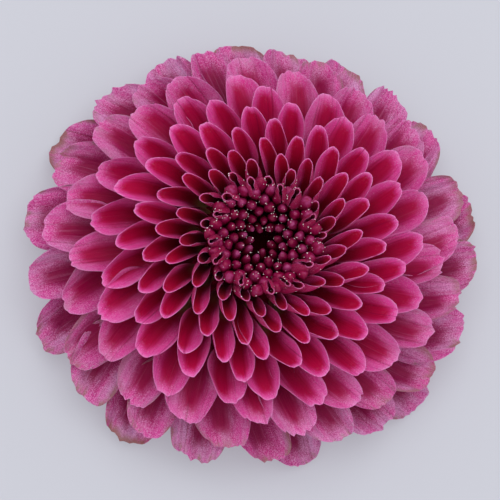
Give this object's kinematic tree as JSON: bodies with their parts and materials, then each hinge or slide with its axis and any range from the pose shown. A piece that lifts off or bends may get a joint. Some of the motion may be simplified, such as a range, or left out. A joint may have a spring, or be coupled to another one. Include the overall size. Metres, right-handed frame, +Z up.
{
  "type": "pompon chrysanthemum flower head",
  "caption": "Crimson-pink pompon chrysanthemum head, face up on a short cut stem: closed florets round an eye, then spoon-shaped ones, over a drooping skirt of flat petals.",
  "frame": {"origin": "middle of the stem's cut end, on the surface that the head stands on", "axes": "+Z up along the stem and through the eye of the head; +X to the right and +Y to the top of the picture"},
  "size_m": [0.0652, 0.0613, 0.0296],
  "materials": {
    "petal": "satin",
    "bract": "matte",
    "stem": "matte"
  },
  "bodies": {
    "root": {"ray_florets": "petal", "green_bracts": "bract", "stem_stub": "stem"}
  },
  "joints": []
}
